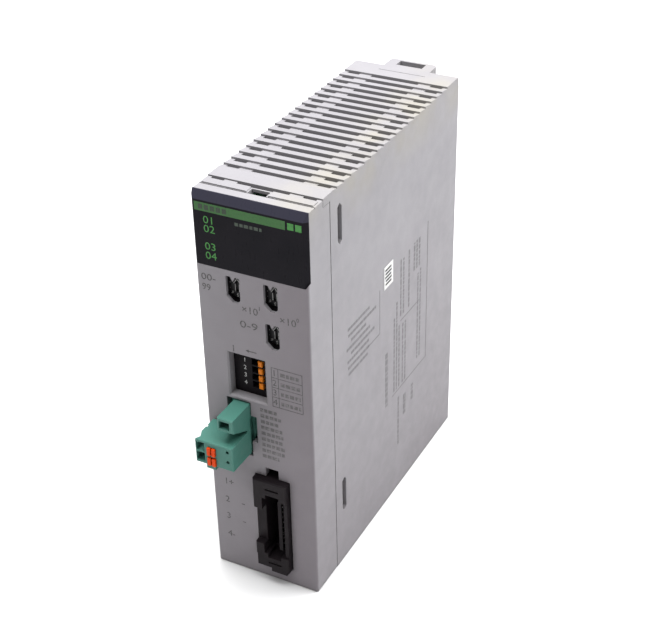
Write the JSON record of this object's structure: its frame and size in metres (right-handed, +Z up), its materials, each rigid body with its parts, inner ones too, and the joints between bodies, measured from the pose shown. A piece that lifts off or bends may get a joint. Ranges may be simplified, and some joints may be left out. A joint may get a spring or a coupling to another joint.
{
  "type": "plc network module",
  "caption": "Tall one-slot network module for a programmable controller, with vented roof, setting dials, sliding switches, plug-in power terminal and network socket.",
  "frame": {"origin": "centre of the base face of the case", "axes": "+Z up along the height, -Y out of the front face, +X to the right seen from the front"},
  "size_m": [0.0351, 0.1186, 0.13],
  "materials": {
    "case_plastic": "fine moulded texture",
    "window_plastic": "smooth tinted",
    "clear_plastic": "polished clear",
    "led_white": "moulded",
    "circuit_board": "solder mask",
    "green_plastic": "satin moulded",
    "tinned_metal": "tinned",
    "spring_steel": "stamped",
    "orange_plastic": "moulded",
    "zinc_steel": "zinc plated",
    "black_plastic": "moulded",
    "gold_contact": "plated",
    "switch_black": "moulded",
    "dial_black": "moulded with printed digits",
    "slider_orange": "moulded",
    "chip_black": "epoxy",
    "can_metal": "drawn",
    "sticker_white": "printed film"
  },
  "bodies": {
    "housing": {"backplane_connector": "black_plastic", "backplane_pins": "gold_contact", "board_link_pins": "gold_contact", "board_link_plug": "black_plastic", "board_link_socket": "black_plastic", "capacitors": "can_metal", "crystal": "can_metal", "dip_switch_body": "switch_black", "front_board": "circuit_board", "front_board_screws": "zinc_steel", "front_cover": "case_plastic", "indicator_leds": "led_white", "indicator_window": "window_plastic", "light_guide": "clear_plastic", "main_board": "circuit_board", "main_board_screws": "zinc_steel", "memory_chips": "chip_black", "mode_switch_body": "switch_black", "network_chip": "chip_black", "network_contacts": "tinned_metal", "network_socket": "black_plastic", "ones_switch_body": "switch_black", "power_converter": "chip_black", "power_header": "green_plastic", "power_header_pins": "tinned_metal", "processor_chip": "chip_black", "pulse_transformer": "chip_black", "rear_case": "case_plastic", "side_sticker": "sticker_white", "tens_switch_body": "switch_black"},
    "power_plug": {"power_plug_body": "green_plastic", "plug_clamps": "spring_steel"},
    "tens_dial": {"tens_dial": "dial_black"},
    "ones_dial": {"ones_dial": "dial_black"},
    "mode_dial": {"mode_dial": "dial_black"},
    "dip_slider_1": {"dip_slider_1": "slider_orange"},
    "dip_slider_2": {"dip_slider_2": "slider_orange"},
    "dip_slider_3": {"dip_slider_3": "slider_orange"},
    "dip_slider_4": {"dip_slider_4": "slider_orange"},
    "plug_lever_1": {"plug_lever_1": "orange_plastic"},
    "plug_lever_2": {"plug_lever_2": "orange_plastic"},
    "plug_screw": {"plug_screw": "zinc_steel"},
    "mounting_screw": {"mounting_screw": "zinc_steel"}
  },
  "joints": [
    {"name": "plug_pull", "type": "slide", "parent": "housing", "child": "power_plug", "axis": [0, -1, 0], "range_m": [0, 0.012]},
    {"name": "plug_screw_turn", "type": "hinge", "parent": "power_plug", "child": "plug_screw", "pos_m": [-0.00585, -0.0565, 0.062], "axis": [0, 1, 0], "continuous": true},
    {"name": "lever_1_press", "type": "slide", "parent": "power_plug", "child": "plug_lever_1", "axis": [0, 1, 0], "range_m": [0, 0.0014], "stiffness_N_per_m": 800},
    {"name": "lever_2_press", "type": "slide", "parent": "power_plug", "child": "plug_lever_2", "axis": [0, 1, 0], "range_m": [0, 0.0014], "stiffness_N_per_m": 800},
    {"name": "tens_dial_turn", "type": "hinge", "parent": "housing", "child": "tens_dial", "pos_m": [-0.00605, -0.0465, 0.1014], "axis": [0, 1, 0], "continuous": true},
    {"name": "ones_dial_turn", "type": "hinge", "parent": "housing", "child": "ones_dial", "pos_m": [0.0057, -0.0465, 0.10155], "axis": [0, 1, 0], "continuous": true},
    {"name": "mode_dial_turn", "type": "hinge", "parent": "housing", "child": "mode_dial", "pos_m": [0.00575, -0.0465, 0.08915], "axis": [0, 1, 0], "continuous": true},
    {"name": "dip_1_slide", "type": "slide", "parent": "housing", "child": "dip_slider_1", "axis": [-1, 0, 0], "range_m": [0, 0.0021]},
    {"name": "dip_2_slide", "type": "slide", "parent": "housing", "child": "dip_slider_2", "axis": [-1, 0, 0], "range_m": [0, 0.0021]},
    {"name": "dip_3_slide", "type": "slide", "parent": "housing", "child": "dip_slider_3", "axis": [-1, 0, 0], "range_m": [0, 0.0021]},
    {"name": "dip_4_slide", "type": "slide", "parent": "housing", "child": "dip_slider_4", "axis": [-1, 0, 0], "range_m": [0, 0.0021]},
    {"name": "mounting_screw_turn", "type": "hinge", "parent": "housing", "child": "mounting_screw", "pos_m": [0, 0.0495, 0.005], "axis": [0, 1, 0], "continuous": true}
  ]
}
